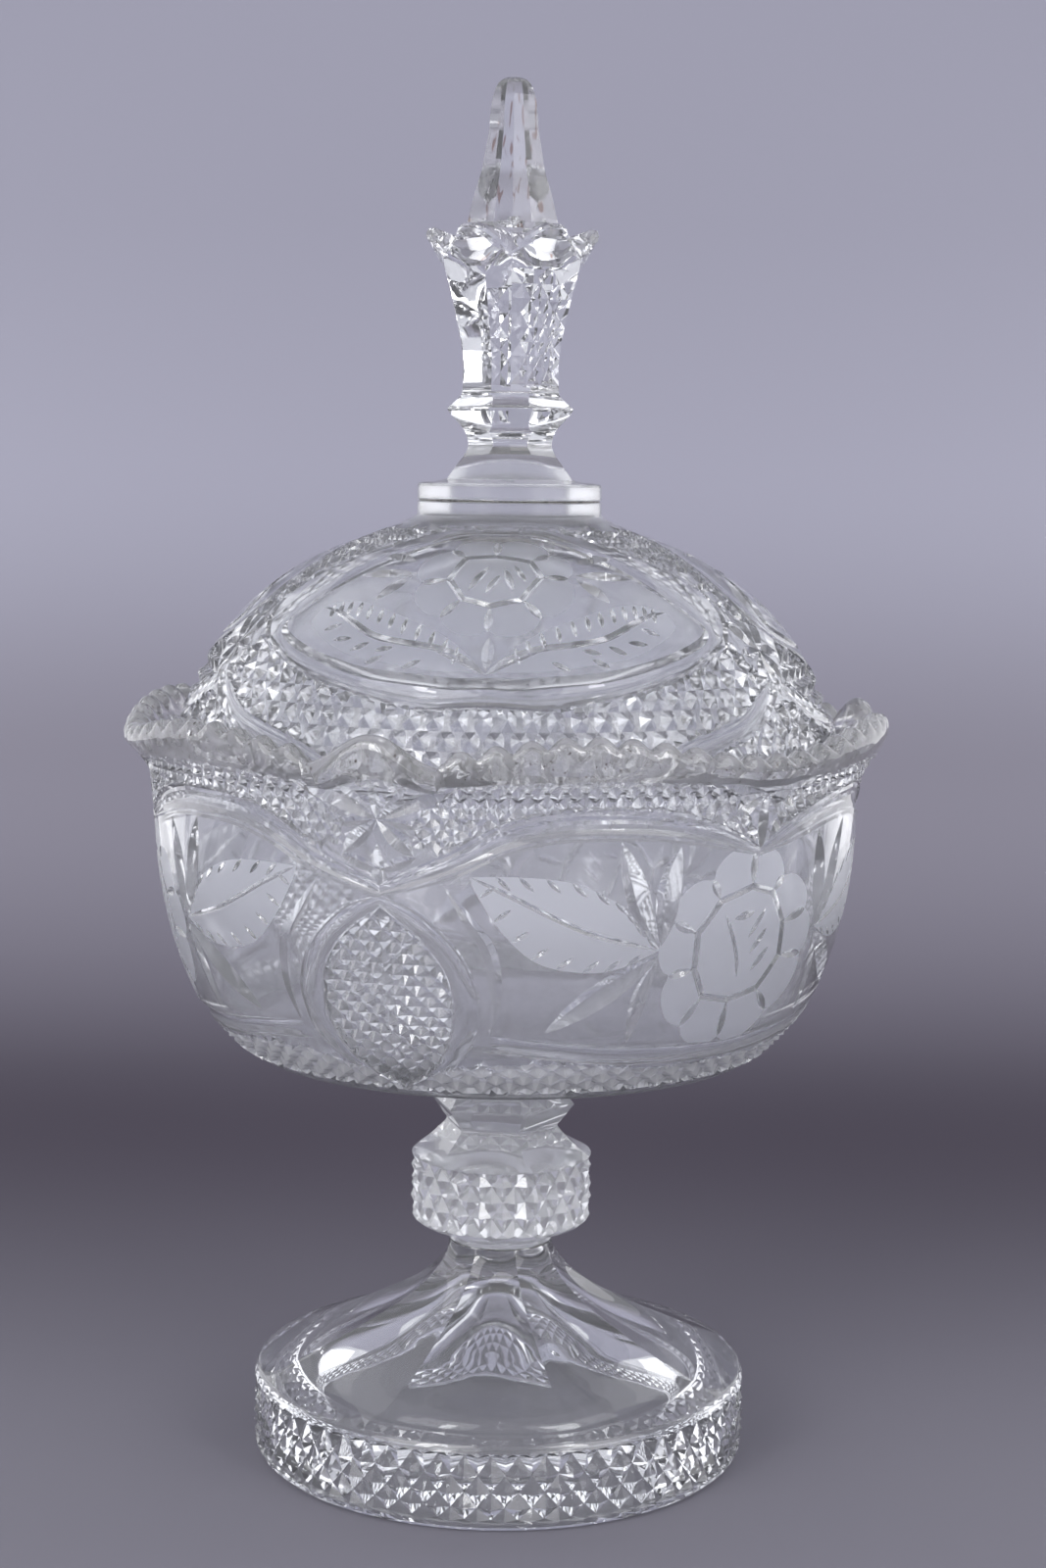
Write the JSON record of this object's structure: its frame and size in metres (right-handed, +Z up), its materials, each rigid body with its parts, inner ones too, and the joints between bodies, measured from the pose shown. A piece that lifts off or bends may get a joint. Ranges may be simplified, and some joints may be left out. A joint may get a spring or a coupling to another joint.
{
  "type": "lidded compote",
  "caption": "Pressed and cut clear glass pedestal bowl with a scalloped rim, a knopped stem, a fluted foot and a domed lid with a spire finial.",
  "frame": {"origin": "centre of the foot's standing ring, on the surface that the object stands on", "axes": "+Z up along the axis of the bowl, stem and foot; -Y towards the side seen in the picture; +X to its right"},
  "size_m": [0.2488, 0.2488, 0.4498],
  "materials": {
    "foot": "clear pressed and fire-polished crystal with a cut diamond band",
    "foot_bond": "clear cured adhesive film",
    "stem": "clear crystal with a cut diamond band",
    "bowl_bond": "clear cured adhesive film",
    "bowl": "clear crystal, cut and polished, with frosted flowers and leaves",
    "lid": "clear crystal, cut and polished, with frosted flowers and leaves",
    "finial_bond": "clear cured adhesive film, slightly dirty at its edge",
    "finial": "clear polished crystal"
  },
  "bodies": {
    "base": {"foot": "foot", "foot_bond": "foot_bond", "stem": "stem", "bowl_bond": "bowl_bond", "bowl": "bowl"},
    "lid": {"lid": "lid", "finial_bond": "finial_bond", "finial": "finial"}
  },
  "joints": [
    {"name": "lid_lift", "type": "slide", "parent": "base", "child": "lid", "axis": [0, 0, 1], "range_m": [0, 0.15]}
  ]
}
